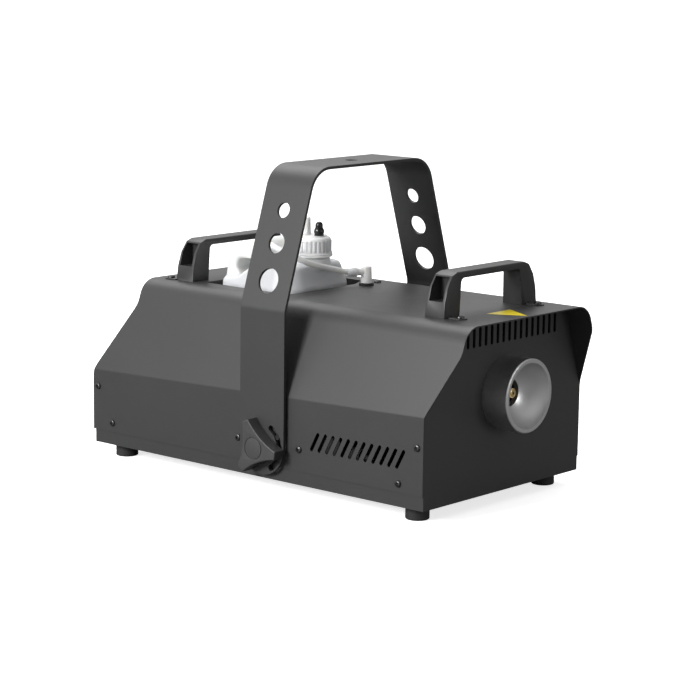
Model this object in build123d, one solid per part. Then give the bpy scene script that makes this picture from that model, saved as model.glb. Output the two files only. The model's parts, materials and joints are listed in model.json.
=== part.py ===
from build123d import *
from math import atan2, cos, hypot, pi, radians, sin, sqrt, tan
import os

# Fog machine. Millimetres. +X is the way the fog leaves, +Y is the machine's left side, +Z is up.
# Origin: on the floor, under the middle of the machine's overall box.

# ---- Driving dimensions -------------------------------------------------------------------------
LENGTH = 490.0            # rear edge of the cover to the rim of the nozzle shroud
BODY_LENGTH = 460.0       # rear edge of the cover to the front panel
WIDTH = 256.0             # across the cover
SHEET = 1.2               # steel sheet of the cover
TRAY_SHEET = 1.5          # steel sheet of the chassis and the rear panel
FOOT_HEIGHT = 15.0
COVER_BOTTOM = 29.5
TOP = 194.5               # top face of the cover
FOLD_REAR = 95.0          # height of the side fold at the rear edge
FOLD_FRONT = 107.5        # and at the front panel
FACET_SLOPE = 0.337       # sideways lean of the upper facet, per millimetre of height
TOP_BEND = 22.0           # outside radius of the bend into the top
SIDE_BEND = 5.0
VISOR = 28.5              # overhang of the cover over the front panel
REAR_LEAN = 44.0          # how far the rear edge leans forward at its top
KINK = 168.5              # height where both leaning edges turn upright

STRAP_WIDTH = 60.0
STRAP = 3.0               # thickness of the bracket
STRAP_MID = 254.0         # station of the bracket's centre line
PIVOT_X = 255.0
PIVOT_Z = 49.2
STRAP_END_Z = 50.0        # centre of the bracket legs' round ends
STRAP_TOP = 331.0
STRAP_BEND_Z = 190.0
STRAP_LEAN = 17.4         # degrees
STRAP_CORNER = 30.0
STRAP_GAP = 2.6           # between the cover and the bracket
SPACER = 2.3
CLAMP_HOLE_R = 6.5
STUD_R = 4.0
RUNNING = 0.05            # radial clearance of the pivot
PIN_R = 2.6
SLOT_HALF = 3.2
SLOT_ARC_R = 23.5
SLOT_ARC_HALF = 60.0
PIN_ANGLE = 31.0
KNOB_THICK = 13.6

NOZZLE_Z = 115.0
SHROUD_R = 37.5
SHROUD_LENGTH = 30.0
RIM_FILLET = 1.4

HOSE_R = 3.2
CAP_X = 198.0             # station of the bottle's neck
SOCKET_X = 241.0
SOCKET_Y = 42.0

HALF = WIDTH / 2
PARTS = {}


def at(station):
    """X of a point that many millimetres in front of the cover's rear edge."""
    return station - LENGTH / 2


# ---- Small helpers ------------------------------------------------------------------------------
def block(x0, x1, y0, y1, z0, z1):
    return Pos((at(x0) + at(x1)) / 2, (y0 + y1) / 2, (z0 + z1) / 2) * Box(x1 - x0, y1 - y0, z1 - z0)


def rod(start, end, radius):
    """Round bar between two points given as station, y, z."""
    p = Vector(at(start[0]), start[1], start[2])
    q = Vector(at(end[0]), end[1], end[2])
    along = q - p
    base = Plane(origin=p, z_dir=along)
    return extrude(base * Circle(radius), amount=along.length)


def tube(start, end, outer, inner):
    return rod(start, end, outer) - rod(start, end, inner)


def prism(corners, direction, amount):
    """Straight prism on a closed flat outline of points given as station, y, z."""
    outline = Polyline(*[(at(x), y, z) for x, y, z in corners], close=True)
    return extrude(make_face(outline), amount=amount, dir=direction)


def side_prism(outline, y0, y1):
    return prism([(x, y0, z) for x, z in outline], (0, 1, 0), y1 - y0)


def cross_prism(outline, x0, x1):
    return prism([(x0, y, z) for y, z in outline], (1, 0, 0), x1 - x0)


def plan_prism(outline, z0, z1):
    return prism([(x, y, z0) for x, y in outline], (0, 0, 1), z1 - z0)


def slot_along_y(p, q, width, y0, y1):
    """Round-ended slot through a side wall; p and q are the tips' centres as station, z."""
    r = width / 2
    length = hypot(q[0] - p[0], q[1] - p[1])
    nx, nz = -(q[1] - p[1]) / length * r, (q[0] - p[0]) / length * r
    outline = [(p[0] + nx, p[1] + nz), (q[0] + nx, q[1] + nz), (q[0] - nx, q[1] - nz), (p[0] - nx, p[1] - nz)]
    body = side_prism(outline, y0, y1)
    for x, z in (p, q):
        body += rod((x, y0, z), (x, y1, z), r)
    return body


def slot_along_x(y, z0, z1, width, x0, x1):
    """Upright round-ended slot through an end wall."""
    r = width / 2
    body = block(x0, x1, y - r, y + r, z0 + r, z1 - r)
    for z in (z0 + r, z1 - r):
        body += rod((x0, y, z), (x1, y, z), r)
    return body


def pan_screw(point, direction, head_r, head_h, shank_r, shank_l):
    """Cross-recess pan head screw whose head sits on the point and faces the direction."""
    place = Plane(origin=(at(point[0]), point[1], point[2]), z_dir=direction)
    head = extrude(place * Circle(head_r), amount=head_h)
    top = head.edges().sort_by(lambda e: (e.center() - place.origin).dot(place.z_dir))[-1]
    head = fillet([top], head_h * 0.6)
    shank = extrude(place * Circle(shank_r), amount=-shank_l)
    recess_depth = head_h * 0.6
    over = place.offset(head_h - recess_depth)
    wide, thin = head_r * 1.05, head_r * 0.24
    cross = extrude(over * Rectangle(wide, thin), amount=head_h)
    cross += extrude(over * Rectangle(thin, wide), amount=head_h)
    return head + shank - cross


def round_edges(shape, radius, choose):
    picked = [e for e in shape.edges() if choose(e)]
    return fillet(picked, radius) if picked else shape


# ---- Cover --------------------------------------------------------------------------------------
def fold_z(station):
    return FOLD_REAR + (FOLD_FRONT - FOLD_REAR) * station / BODY_LENGTH


def facet_half_width(station, z):
    return HALF - FACET_SLOPE * (z - fold_z(station))


def facet_plane(side, inset):
    """Plane of the leaning facet on one side, moved inwards by the inset."""
    a = Vector(at(0), side * HALF, fold_z(0))
    b = Vector(at(BODY_LENGTH), side * HALF, fold_z(BODY_LENGTH))
    c = Vector(at(0), side * facet_half_width(0, TOP), TOP)
    normal = (b - a).cross(c - a).normalized()
    if normal.Z < 0:
        normal = normal * -1
    return Plane(origin=a - normal * inset, z_dir=normal)


def envelope(inset):
    """Solid inside the cover's skin, a little longer than the machine at both ends."""
    x0, x1 = -20.0, LENGTH + 20.0
    solid = block(x0, x1, -HALF + inset, HALF - inset, 0, TOP - inset)
    for side in (-1, 1):
        solid = split(solid, bisect_by=facet_plane(side, inset), keep=Keep.BOTTOM)
    long = (x1 - x0) * 0.9
    solid = round_edges(solid, TOP_BEND - inset,
                        lambda e: e.length > long and e.center().Z > TOP - inset - 1)
    return round_edges(solid, SIDE_BEND - inset,
                       lambda e: e.length > long and FOLD_REAR - 4 < e.center().Z < FOLD_FRONT + 4)


def edge_profile(margin):
    """Side view of the cover: both ends lean forward above the fold, then stand upright."""
    high = TOP + 20
    outline = [(0, 0), (0, FOLD_REAR), (REAR_LEAN, KINK), (REAR_LEAN, high),
               (BODY_LENGTH + VISOR, high), (BODY_LENGTH + VISOR, KINK),
               (BODY_LENGTH, FOLD_FRONT), (BODY_LENGTH, 0)]
    solid = side_prism(outline, -HALF - margin, HALF + margin)
    for height, radius in ((FOLD_REAR, 30), (KINK, 22), (FOLD_FRONT, 16)):
        solid = round_edges(solid, radius,
                            lambda e: abs(e.length - 2 * (HALF + margin)) < 1 and abs(e.center().Z - height) < 0.5)
    return solid


LOUVRES = 12
LOUVRE_PITCH = 10.06
LOUVRE_START = 326.1
LOUVRE_TOP = 72.5
LOUVRE_BOTTOM = 53.0
LOUVRE_LEAN = 10.3
LOUVRE_WIDTH = 4.0
OPENING = (108.0, 228.0, -66.0, 64.0)
SIDE_SCREWS = ((7.7, 77.0), (29.6, 39.3), (216.0, 52.0), (300.0, 52.0), (452.5, 77.0), (429.5, 38.3))


def louvres(side):
    r = LOUVRE_WIDTH / 2
    length = hypot(LOUVRE_LEAN, LOUVRE_TOP - LOUVRE_BOTTOM)
    ux, uz = LOUVRE_LEAN / length * r, (LOUVRE_TOP - LOUVRE_BOTTOM) / length * r
    y0, y1 = sorted((side * (HALF - 4), side * (HALF + 2)))
    cuts = []
    for i in range(LOUVRES):
        x = LOUVRE_START + i * LOUVRE_PITCH
        tip = (x - ux, LOUVRE_TOP - uz)
        heel = (x - LOUVRE_LEAN + ux, LOUVRE_BOTTOM + uz)
        cuts.append(slot_along_y(tip, heel, LOUVRE_WIDTH, y0, y1))
    return cuts


def bottle_opening(grow, z0, z1):
    x0, x1, y0, y1 = OPENING
    x0, x1, y0, y1 = x0 - grow, x1 + grow, y0 - grow, y1 + grow
    outline = [(x0, y0), (x1, y0), (x1, y1 - 26), (x1 - 12, y1), (x0, y1)]
    solid = plan_prism(outline, z0, z1)
    return round_edges(solid, 5 + grow, lambda e: abs(e.length - (z1 - z0)) < 0.01)


def top_cover():
    skin = envelope(0) - envelope(SHEET)
    skin = skin & edge_profile(5)
    skin -= block(-5, LENGTH + 5, -HALF - 5, HALF + 5, -5, COVER_BOTTOM)
    cuts = louvres(-1) + louvres(1)
    cuts.append(bottle_opening(0, TOP - 10, TOP + 5))
    cuts.append(rod((SOCKET_X, SOCKET_Y, TOP - 5), (SOCKET_X, SOCKET_Y, TOP + 5), 6.6))
    for side in (-1, 1):
        reach = (side * (HALF - 4), side * (HALF + 2))
        cuts.append(rod((PIVOT_X, reach[0], PIVOT_Z), (PIVOT_X, reach[1], PIVOT_Z), STUD_R + 0.8))
        px, pz = pin_centre()
        cuts.append(rod((px, reach[0], pz), (px, reach[1], pz), PIN_R + 0.1))
        for x, z in SIDE_SCREWS:
            cuts.append(rod((x, reach[0], z), (x, reach[1], z), 2.1))
    for x, y in HANDLE_SCREWS + ((SOCKET_SCREW),):
        cuts.append(rod((x, y, TOP - 5), (x, y, TOP + 5), 2.1))
    return skin - cuts


# ---- Chassis ------------------------------------------------------------------------------------
FRONT_SLOTS = 18
FRONT_SLOT_PITCH = 9.5
FRONT_SLOT_WIDTH = 4.2
FRONT_SLOT_Z = (165.7, 186.0)
TRAY_FLANGE_TOP = 70.0
FEET = ((26.0, -103.0), (26.0, 103.0), (434.0, -103.0), (434.0, 103.0))
FOOT_R = 12.0
PANEL_RECESS = 13.0       # rear panel in front of the cover's rear edge
TRAY_REAR = 2.0


def pin_centre():
    return (PIVOT_X + SLOT_ARC_R * cos(radians(PIN_ANGLE)), PIVOT_Z + SLOT_ARC_R * sin(radians(PIN_ANGLE)))


def chassis_tray():
    """Floor, two low side flanges and the front panel, folded from one sheet."""
    half = HALF - SHEET - 0.15
    floor = block(TRAY_REAR, BODY_LENGTH, -half, half, FOOT_HEIGHT, FOOT_HEIGHT + TRAY_SHEET)
    tray = floor
    for side in (-1, 1):
        y0, y1 = sorted((side * half, side * (half - TRAY_SHEET)))
        tray += block(TRAY_REAR, BODY_LENGTH, y0, y1, FOOT_HEIGHT, TRAY_FLANGE_TOP + 15)
    tray += envelope(SHEET + 0.15) & block(BODY_LENGTH - TRAY_SHEET, BODY_LENGTH, -half, half, FOOT_HEIGHT, TOP)
    cuts = []
    first = -(FRONT_SLOTS - 1) / 2 * FRONT_SLOT_PITCH
    for i in range(FRONT_SLOTS):
        y = first + i * FRONT_SLOT_PITCH
        cuts.append(slot_along_x(y, *FRONT_SLOT_Z, FRONT_SLOT_WIDTH, BODY_LENGTH - 4, BODY_LENGTH + 2))
    cuts.append(rod((BODY_LENGTH - 4, 0, NOZZLE_Z), (BODY_LENGTH + 2, 0, NOZZLE_Z), 20.0))
    for x, y in FEET:
        cuts.append(rod((x, y, FOOT_HEIGHT - 2), (x, y, FOOT_HEIGHT + 4), 2.1))
    px, pz = pin_centre()
    for side in (-1, 1):
        reach = (side * (HALF - 6), side * (HALF + 2))
        cuts.append(rod((PIVOT_X, reach[0], PIVOT_Z), (PIVOT_X, reach[1], PIVOT_Z), STUD_R + 0.8))
        cuts.append(rod((px, reach[0], pz), (px, reach[1], pz), PIN_R + 0.02))
        cuts.append(slot_along_y((322, 62.5), (442, 62.5), 24, *sorted(reach)))
        for x, z in SIDE_SCREWS:
            cuts.append(rod((x, reach[0], z), (x, reach[1], z), 2.0))
    return tray - cuts


def rear_outline(inset):
    """Outer line of the rear panel in side view, behind the cover's leaning edge."""
    return [(PANEL_RECESS + inset, FOOT_HEIGHT + TRAY_SHEET), (PANEL_RECESS + inset, FOLD_REAR - 2),
            (REAR_LEAN + PANEL_RECESS + inset, KINK), (REAR_LEAN + PANEL_RECESS + inset, TOP)]


def rear_panel():
    outer = rear_outline(0)
    inner = rear_outline(TRAY_SHEET)
    sheet = side_prism(outer + inner[::-1], -HALF, HALF)
    inside = envelope(SHEET + 0.3)
    side = HALF - SHEET - 0.3 - TRAY_SHEET
    inside -= block(0, 60, side, HALF, 0, TRAY_FLANGE_TOP + 15.2)
    inside -= block(0, 60, -HALF, -side, 0, TRAY_FLANGE_TOP + 15.2)
    sheet = sheet & inside
    cuts = [block(0, 40, y - 13.6, y + 13.6, z - 10, z + 10) for y, z in (INLET,)]
    cuts.append(block(0, 40, SWITCH[0] - 9.3, SWITCH[0] + 9.3, SWITCH[1] - 12.3, SWITCH[1] + 12.3))
    cuts += [rod((0, y, z), (40, y, z), 11.2) for y, z in DATA_SOCKETS]
    cuts += [rod((0, y, z), (30, y, z), 1.4) for x, y, z in panel_screw_spots()]
    cuts.append(rod((0, FUSE[0], FUSE[1]), (40, FUSE[0], FUSE[1]), 6.7))
    cuts.append(panel_box(DISPLAY_Y, DISPLAY_ALONG, 50.4, 20.4, -6, 8))
    cuts += [panel_rod(y, BUTTON_ALONG, 4.4, -6, 8) for y in BUTTON_Y]
    return sheet - cuts


# ---- Things on the rear panel -------------------------------------------------------------------
INLET = (-86.0, 56.0)
SWITCH = (-48.0, 56.0)
FUSE = (-18.0, 56.0)
DATA_SOCKETS = ((30.0, 56.0), (72.0, 56.0))
DISPLAY_Y = 22.0
DISPLAY_ALONG = 50.0      # up the leaning panel from its lower fold
BUTTON_ALONG = 22.0
BUTTON_Y = (-8.0, 12.0, 32.0, 52.0)
BUTTON_R = 4.0


def panel_plane():
    """Outer face of the leaning part of the rear panel: x along +Y, y up the panel, z outwards."""
    low = Vector(at(PANEL_RECESS), 0, FOLD_REAR - 2)
    high = Vector(at(REAR_LEAN + PANEL_RECESS), 0, KINK)
    up = (high - low).normalized()
    outward = Vector(-up.Z, 0, up.X)
    return Plane(origin=low, x_dir=(0, -1, 0), z_dir=outward)


def panel_box(y, along, size_y, size_along, depth0, depth1):
    base = panel_plane()
    up = base.y_dir if base.y_dir.Z > 0 else base.y_dir * -1
    centre = base.origin + up * along + Vector(0, y, 0)
    face = Plane(origin=centre + base.z_dir * depth0, x_dir=(0, 1, 0), z_dir=base.z_dir)
    return extrude(face * Rectangle(size_y, size_along), amount=depth1 - depth0)


def panel_rod(y, along, radius, depth0, depth1):
    base = panel_plane()
    up = base.y_dir if base.y_dir.Z > 0 else base.y_dir * -1
    centre = base.origin + up * along + Vector(0, y, 0)
    face = Plane(origin=centre + base.z_dir * depth0, x_dir=(0, 1, 0), z_dir=base.z_dir)
    return extrude(face * Circle(radius), amount=depth1 - depth0)


def mains_inlet():
    y, z = INLET
    x = PANEL_RECESS
    flange = block(x - 2.5, x, y - 24, y + 24, z - 14, z + 14)
    body = block(x, x + 24, y - 13.4, y + 13.4, z - 9.8, z + 9.8)
    hollow = block(x - 4, x + 16, y - 12, y + 12, z - 8, z + 8)
    screws = [rod((x - 4, y + s * 19, z), (x + 1, y + s * 19, z), 1.7) for s in (-1, 1)]
    return flange + body - hollow - screws


def inlet_pins():
    y, z = INLET
    x = PANEL_RECESS
    pins = [block(x + 2, x + 16, y + dy - 1, y + dy + 1, z + dz - 2, z + dz + 2)
            for dy, dz in ((-7, -2), (0, 2), (7, -2))]
    return pins[0] + pins[1] + pins[2]


def panel_screw_spots():
    """Station of the seat, y and z of each small screw on the upright part of the panel."""
    x = PANEL_RECESS
    y, z = INLET
    spots = [(x - 2.5, y + s * 19, z) for s in (-1, 1)]
    spots += [(x, s * 116.0, h) for s in (-1, 1) for h in (30.0, 88.0)]
    for dy, dz in DATA_SOCKETS:
        spots += [(x - 1.5, dy - 9.5, dz + 12), (x - 1.5, dy + 9.5, dz - 12)]
    return spots


def panel_screws():
    group = None
    for spot in panel_screw_spots():
        screw = pan_screw(spot, (-1, 0, 0), 2.8, 1.7, 1.4, 5)
        group = screw if group is None else group + screw
    return group


def data_sockets():
    """Two round three-pin control sockets with square flanges."""
    group = None
    for y, z in DATA_SOCKETS:
        x = PANEL_RECESS
        flange = block(x - 1.5, x, y - 13, y + 13, z - 15.5, z + 15.5)
        body = rod((x - 3, y, z), (x + 18, y, z), 11.0)
        socket = flange + body - rod((x - 5, y, z), (x + 12, y, z), 8.4)
        for dy, dz in ((-9.5, 12), (9.5, -12)):
            socket -= rod((x - 5, y + dy, z + dz), (x + 2, y + dy, z + dz), 1.45)
        for k in range(3):
            a = radians(90 + 120 * k)
            py, pz = y + 4.5 * cos(a), z + 4.5 * sin(a)
            socket += rod((x + 1, py, pz), (x + 13, py, pz), 1.1)
        group = socket if group is None else group + socket
    return group


def fuse_holder():
    y, z = FUSE
    x = PANEL_RECESS
    ring = tube((x - 1.5, y, z), (x, y, z), 9.0, 5.6)
    return ring + tube((x, y, z), (x + 26, y, z), 6.5, 5.6)


def fuse_cap():
    y, z = FUSE
    x = PANEL_RECESS
    cap = rod((x - 6, y, z), (x - 1.9, y, z), 7.5) + rod((x - 2, y, z), (x + 20, y, z), 5.2)
    cap -= block(x - 7, x - 4.6, y - 6, y + 6, z - 0.8, z + 0.8)
    return cap


def switch_frame():
    y, z = SWITCH
    x = PANEL_RECESS
    frame = block(x - 2, x, y - 11, y + 11, z - 15, z + 15)
    frame += block(x, x + 20, y - 9.2, y + 9.2, z - 12.2, z + 12.2)
    return frame - block(x - 4, x + 14, y - 7.6, y + 7.6, z - 10.6, z + 10.6)


ROCKER_AXIS = PANEL_RECESS + 5.5
ROCKER_TILT = 8.0         # degrees each way from level


def power_rocker():
    """Rocker with a shallow valley between its two faces, stored with its top pressed in."""
    y, z = SWITCH
    turn = radians(ROCKER_TILT)
    local = [(-5.0, 0.0), (-6.5, 9.2), (2.0, 8.0), (4.0, 0.0), (2.0, -8.0), (-6.5, -9.2)]
    outline = [(ROCKER_AXIS + u * cos(turn) + w * sin(turn), z - u * sin(turn) + w * cos(turn)) for u, w in local]
    hub = rod((ROCKER_AXIS, y - 7.2, z), (ROCKER_AXIS, y + 7.2, z), 4.0)
    return side_prism(outline, y - 7.2, y + 7.2) + hub


def display_frame():
    frame = panel_box(DISPLAY_Y, DISPLAY_ALONG, 58, 28, 0, 1.8)
    frame += panel_box(DISPLAY_Y, DISPLAY_ALONG, 50, 20, -4, 0.1)
    return frame - panel_box(DISPLAY_Y, DISPLAY_ALONG, 46, 16, -5, 3)


def display_window():
    return panel_box(DISPLAY_Y, DISPLAY_ALONG, 45.9, 15.9, -3, 1.0)


def menu_button(y):
    return panel_rod(y, BUTTON_ALONG, BUTTON_R, -4, 3.2) + panel_rod(y, BUTTON_ALONG, 5.6, -4, -2.6)


# ---- Handles ------------------------------------------------------------------------------------
HANDLE_OUT = 75.0
HANDLE_IN = 51.0
HANDLE_TOP = 238.5
HANDLE_BAR = 6.5
HANDLE_FRONT = (416.0, 440.0)
HANDLE_REAR = (74.0, 98.0)
HANDLE_SCREWS = ((451.0, -63.0), (451.0, 63.0), (64.0, -73.0), (64.0, 73.0))
SOCKET_SCREW = (237.5, 64.4)


def handle(x0, x1, ear):
    """Moulded bridge handle with hollow legs; the ear points to the side that carries its screws."""
    low, high = TOP, HANDLE_TOP
    side = [(HANDLE_OUT, low), (HANDLE_OUT - 1.5, low + 16), (HANDLE_OUT - 5.5, low + 30),
            (HANDLE_OUT - 13, high - 3), (HANDLE_OUT - 21, high)]
    outer = side + [(-y, z) for y, z in side[::-1]]
    body = cross_prism(outer, x0, x1)
    under = high - HANDLE_BAR
    gap = cross_prism([(HANDLE_IN, low - 1), (HANDLE_IN - 3, under), (3 - HANDLE_IN, under), (-HANDLE_IN, low - 1)],
                      x0 - 1, x1 + 1)
    gap = round_edges(gap, 5, lambda e: abs(e.length - (x1 - x0 + 2)) < 0.1 and e.center().Z > low + 5)
    body -= gap
    for edge, away, lean in ((x0, x0 - 1, 2.2), (x1, x1 + 1, -0.6)):
        body -= side_prism([(away, low + 4), (edge, low + 4), (edge + lean, high + 1), (away, high + 1)], -90, 90)
    body = round_edges(body, 1.4, lambda e: e.length > 60 and e.center().Z > high - 1)
    for s in (-1, 1):
        y0, y1 = sorted((s * (HANDLE_IN + 3.5), s * (HANDLE_OUT + 2)))
        body -= block(x0 + 3.6, x1 - 3.2, y0, y1, low + 16, high - 4.5)
        screw_y = [y for x, y in HANDLE_SCREWS if x0 - 20 < x < x1 + 20 and y * s > 0][0]
        screw_x = [x for x, y in HANDLE_SCREWS if x0 - 20 < x < x1 + 20][0]
        foot = rod((screw_x, screw_y, low), (screw_x, screw_y, low + 1.2), 6.5)
        reach = (x1 - 1, screw_x) if ear > 0 else (screw_x, x0 + 1)
        foot += block(reach[0], reach[1], screw_y - 6.5, screw_y + 6.5, low, low + 1.2)
        foot -= rod((screw_x, screw_y, low - 1), (screw_x, screw_y, low + 3), 2.1)
        body += foot
    return body


def top_screws():
    """One screw on each handle ear and one beside the hose socket."""
    group = pan_screw((SOCKET_SCREW[0], SOCKET_SCREW[1], TOP), (0, 0, 1), 4.0, 2.4, 2.0, 8)
    for x, y in HANDLE_SCREWS:
        group += pan_screw((x, y, TOP + 1.2), (0, 0, 1), 4.0, 2.4, 2.0, 10)
    return group


# ---- Fasteners, feet, label ---------------------------------------------------------------------
def cover_screws():
    group = None
    for side in (-1, 1):
        for x, z in SIDE_SCREWS:
            screw = pan_screw((x, side * HALF, z), (0, side, 0), 3.7, 2.0, 2.0, 7)
            group = screw if group is None else group + screw
    return group


def rubber_feet():
    group = None
    for x, y in FEET:
        foot = extrude(Pos(at(x), y, 0) * Circle(FOOT_R), amount=FOOT_HEIGHT, taper=0)
        foot = fillet(foot.edges().sort_by(Axis.Z)[:1], 1.5)
        foot -= rod((x, y, -1), (x, y, 8), 5.0)
        foot -= rod((x, y, 7), (x, y, FOOT_HEIGHT + 1), 2.1)
        group = foot if group is None else group + foot
    return group


def foot_screws():
    group = None
    for x, y in FEET:
        screw = pan_screw((x, y, 8), (0, 0, -1), 4.0, 2.4, 2.0, 12)
        group = screw if group is None else group + screw
    return group


def warning_triangle():
    outline = [(449.0, -19.0), (449.0, 19.0), (484.0, 0.0)]
    return plan_prism(outline, TOP, TOP + 0.2)


# ---- Bracket ------------------------------------------------------------------------------------
def strap_line(offset):
    """Half of the bracket's cross-section line: y, z points moved outwards by the offset."""
    inner = HALF + STRAP_GAP + offset
    lean = radians(STRAP_LEAN)
    top = STRAP_TOP - STRAP + offset
    bend_z = STRAP_BEND_Z + offset * tan(lean / 2)
    corner_y = inner - (top - bend_z) * tan(lean)
    return [(inner, STRAP_END_Z - STRAP_WIDTH / 2 - 2), (inner, bend_z), (corner_y, top)]


STRAP_BEND_R = 12


def strap_shell(offset):
    """Solid inside the strap's line, that far out from its inner face."""
    half = strap_line(offset)
    outline = half + [(-y, z) for y, z in half[::-1]]
    x0, x1 = STRAP_MID - STRAP_WIDTH / 2, STRAP_MID + STRAP_WIDTH / 2
    spare = 0 if offset else 1
    solid = cross_prism(outline, x0 - spare, x1 + spare)
    long = STRAP_WIDTH * 0.95
    solid = round_edges(solid, STRAP_CORNER - STRAP + offset,
                        lambda e: long < e.length < STRAP_WIDTH + 3 and e.center().Z > STRAP_TOP - STRAP - 1)
    return round_edges(solid, STRAP_BEND_R,
                       lambda e: long < e.length < STRAP_WIDTH + 3 and abs(e.center().Z - STRAP_BEND_Z) < 2)


def leg_point(distance):
    """Point on the outer face of the leaning leg, that far above its bend, with the face's normal."""
    lean = radians(STRAP_LEAN)
    return (HALF + STRAP_GAP + STRAP - distance * sin(lean), STRAP_BEND_Z + distance * cos(lean))


LEG_HOLES = ((29.0, 13.0), (67.8, 10.4), (101.8, 8.0))    # distance above the bend, radius


def bracket():
    solid = strap_shell(STRAP) - strap_shell(0)
    lean = radians(STRAP_LEAN)
    cuts = [rod((STRAP_MID, 0, STRAP_TOP - 10), (STRAP_MID, 0, STRAP_TOP + 5), CLAMP_HOLE_R)]
    r = STRAP_WIDTH / 2
    outer = HALF + STRAP_GAP + STRAP
    for side in (-1, 1):
        for distance, radius in LEG_HOLES:
            y, z = leg_point(distance)
            n = (cos(lean), sin(lean))
            cuts.append(rod((STRAP_MID, side * (y - 8 * n[0]), z - 8 * n[1]),
                            (STRAP_MID, side * (y + 4 * n[0]), z + 4 * n[1]), radius))
        y0, y1 = sorted((side * (outer - STRAP - 1), side * (outer + 1)))
        end = block(STRAP_MID - r - 1, STRAP_MID + r + 1, y0, y1, STRAP_END_Z - r - 5, STRAP_END_Z)
        end -= rod((STRAP_MID, y0 - 1, STRAP_END_Z), (STRAP_MID, y1 + 1, STRAP_END_Z), r)
        cuts.append(end)
        cuts.append(rod((PIVOT_X, y0, PIVOT_Z), (PIVOT_X, y1, PIVOT_Z), STUD_R + RUNNING))
        cuts.append(arc_slot(y0, y1))
    return solid - cuts


def arc_slot(y0, y1):
    """Curved slot about the pivot; the stop pin rides in it."""
    r = SLOT_HALF
    ring = tube((PIVOT_X, y0, PIVOT_Z), (PIVOT_X, y1, PIVOT_Z), SLOT_ARC_R + r, SLOT_ARC_R - r)
    far = 80
    half = radians(SLOT_ARC_HALF)
    wedge = [(PIVOT_X, PIVOT_Z), (PIVOT_X + far * cos(half), PIVOT_Z - far * sin(half)),
             (PIVOT_X + far * 2, PIVOT_Z), (PIVOT_X + far * cos(half), PIVOT_Z + far * sin(half))]
    slot = ring & side_prism(wedge, y0, y1)
    for sign in (-1, 1):
        cx = PIVOT_X + SLOT_ARC_R * cos(half)
        cz = PIVOT_Z + sign * SLOT_ARC_R * sin(half)
        slot += rod((cx, y0, cz), (cx, y1, cz), r)
    return slot


def spacer_washers():
    group = None
    for side in (-1, 1):
        outer = side * (HALF + SPACER)
        ring = tube((PIVOT_X, side * HALF, PIVOT_Z), (PIVOT_X, outer, PIVOT_Z), 16.0, STUD_R + 0.8)
        group = ring if group is None else group + ring
    return group


def stop_pins():
    group = None
    x, z = pin_centre()
    for side in (-1, 1):
        pin = rod((x, side * (HALF - 6), z), (x, side * (HALF + STRAP_GAP + STRAP - 0.4), z), PIN_R)
        group = pin if group is None else group + pin
    return group


def pivot_nuts():
    group = None
    for side in (-1, 1):
        inner = HALF - SHEET - 0.15 - TRAY_SHEET
        nut = tube((PIVOT_X, side * inner, PIVOT_Z), (PIVOT_X, side * (inner - 12), PIVOT_Z), 9.0, STUD_R + RUNNING)
        group = nut if group is None else group + nut
    return group


KNOB_REACH = 29.6         # pivot to the lobes' ends
KNOB_TIP = 4.4            # half width of a lobe's end
KNOB_WAIST = 15.2         # pivot to the middle of a hollow side
KNOB_TURN = -7.0          # degrees from +X of the first lobe, seen from the right side


def knob_outline(turn):
    """Three arms with flat ends and hollow sides, round the pivot."""
    pieces = []
    tips = []
    for k in range(3):
        a = radians(turn + 120 * k)
        for sign in (-1, 1):
            x = KNOB_REACH * cos(a) - sign * KNOB_TIP * sin(a)
            z = KNOB_REACH * sin(a) + sign * KNOB_TIP * cos(a)
            tips.append((x, z))
    for k in range(3):
        p, q = tips[2 * k], tips[2 * k + 1]
        nxt = tips[(2 * k + 2) % 6]
        mid_a = radians(turn + 120 * k + 60)
        waist = KNOB_WAIST
        middle = (waist * cos(mid_a), waist * sin(mid_a))
        pieces.append(Line(spot(p), spot(q)))
        pieces.append(ThreePointArc(spot(q), spot(middle), spot(nxt)))
    return pieces


def spot(xz):
    return (at(PIVOT_X) + xz[0], 0, PIVOT_Z + xz[1])


def knob(side, turn):
    face = make_face(knob_outline(turn))
    inner = HALF + STRAP_GAP + STRAP + 0.4
    solid = extrude(face, amount=KNOB_THICK, dir=(0, side, 0))
    solid = Pos(0, side * inner, 0) * solid
    outer_y = side * (inner + KNOB_THICK)
    solid = round_edges(solid, 1.2, lambda e: abs(e.center().Y - outer_y) < 0.01)
    mid = (PIVOT_X, outer_y - side * 0.8, PIVOT_Z)
    solid -= tube(mid, (PIVOT_X, outer_y + side, PIVOT_Z), 11.6, 10.8)
    solid -= rod((PIVOT_X, side * (inner - 1), PIVOT_Z), (PIVOT_X, side * (inner + 9), PIVOT_Z), STUD_R)
    return solid


def knob_stud(side):
    inner = HALF + STRAP_GAP + STRAP + 0.4
    return rod((PIVOT_X, side * (inner + 9), PIVOT_Z), (PIVOT_X, side * (HALF - 20), PIVOT_Z), STUD_R)


# ---- Nozzle and heat exchanger ------------------------------------------------------------------
BOWL_MOUTH_R = 33.1
BOWL_THROAT_R = 14.0
BOWL_DEPTH = 24.0


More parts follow.
